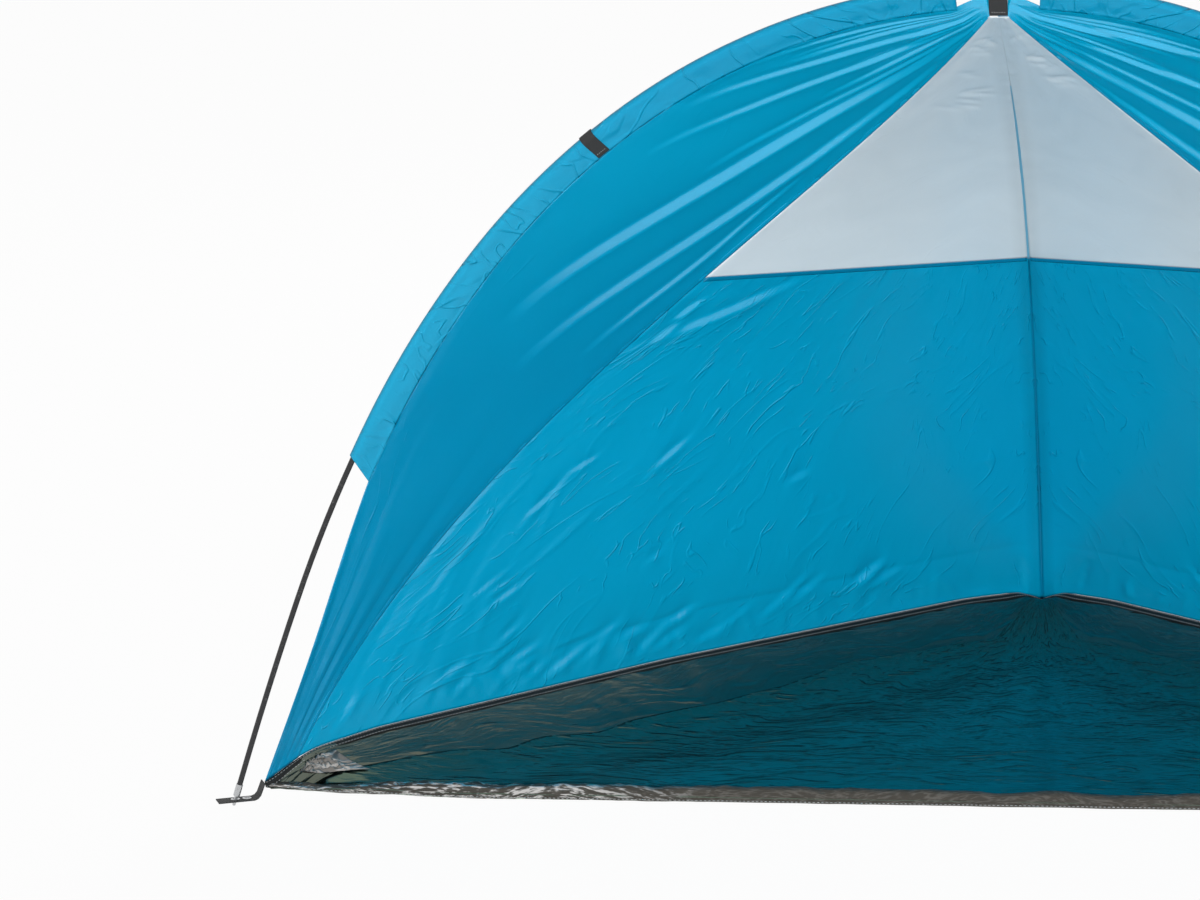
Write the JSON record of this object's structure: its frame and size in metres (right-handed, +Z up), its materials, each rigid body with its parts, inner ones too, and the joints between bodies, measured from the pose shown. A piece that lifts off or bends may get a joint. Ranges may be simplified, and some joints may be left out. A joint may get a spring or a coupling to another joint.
{
  "type": "beach shelter",
  "caption": "Half-dome beach shelter: cloth panels held up by a front arch pole and a rear pole, open at the front, with a raised-edge groundsheet.",
  "frame": {"origin": "on the ground in the middle plane, midway between the line of the front pole tips and the rear tip", "axes": "+X to the right across the mouth, +Y into the shelter, +Z up"},
  "size_m": [2.2536, 1.2801, 1.1692],
  "materials": {
    "fibreglass": "satin",
    "steel": "satin",
    "blue_cloth": "satin",
    "grey_cloth": "satin",
    "groundsheet": "gloss",
    "webbing": "matte"
  },
  "bodies": {
    "root": {"apex_strap": "webbing", "floor_front_hem": "groundsheet", "floor_sheet": "groundsheet", "floor_wall_left": "groundsheet", "floor_wall_right": "groundsheet", "foot_eyelets_left": "steel", "foot_eyelets_rear": "steel", "foot_eyelets_right": "steel", "foot_tab_left": "webbing", "foot_tab_rear": "webbing", "foot_tab_right": "webbing", "front_gore_left": "blue_cloth", "front_gore_right": "blue_cloth", "front_pole_ferrule_1": "steel", "front_pole_ferrule_2": "steel", "front_pole_ferrule_3": "steel", "front_pole_ferrule_4": "steel", "front_pole_ferrule_5": "steel", "front_pole_section_1": "fibreglass", "front_pole_section_2": "fibreglass", "front_pole_section_3": "fibreglass", "front_pole_section_4": "fibreglass", "front_pole_section_5": "fibreglass", "front_pole_section_6": "fibreglass", "front_pole_tip_left": "steel", "front_pole_tip_right": "steel", "front_sleeve_left": "blue_cloth", "front_sleeve_right": "blue_cloth", "lower_back_panel_left": "blue_cloth", "lower_back_panel_right": "blue_cloth", "rear_pole_end_cap": "steel", "rear_pole_ferrule_1": "steel", "rear_pole_ferrule_2": "steel", "rear_pole_section_1": "fibreglass", "rear_pole_section_2": "fibreglass", "rear_pole_section_3": "fibreglass", "rear_pole_tip": "steel", "rear_sleeve": "blue_cloth", "sleeve_strap_left": "webbing", "sleeve_strap_right": "webbing", "upper_back_panel_left": "grey_cloth", "upper_back_panel_right": "grey_cloth"}
  },
  "joints": []
}
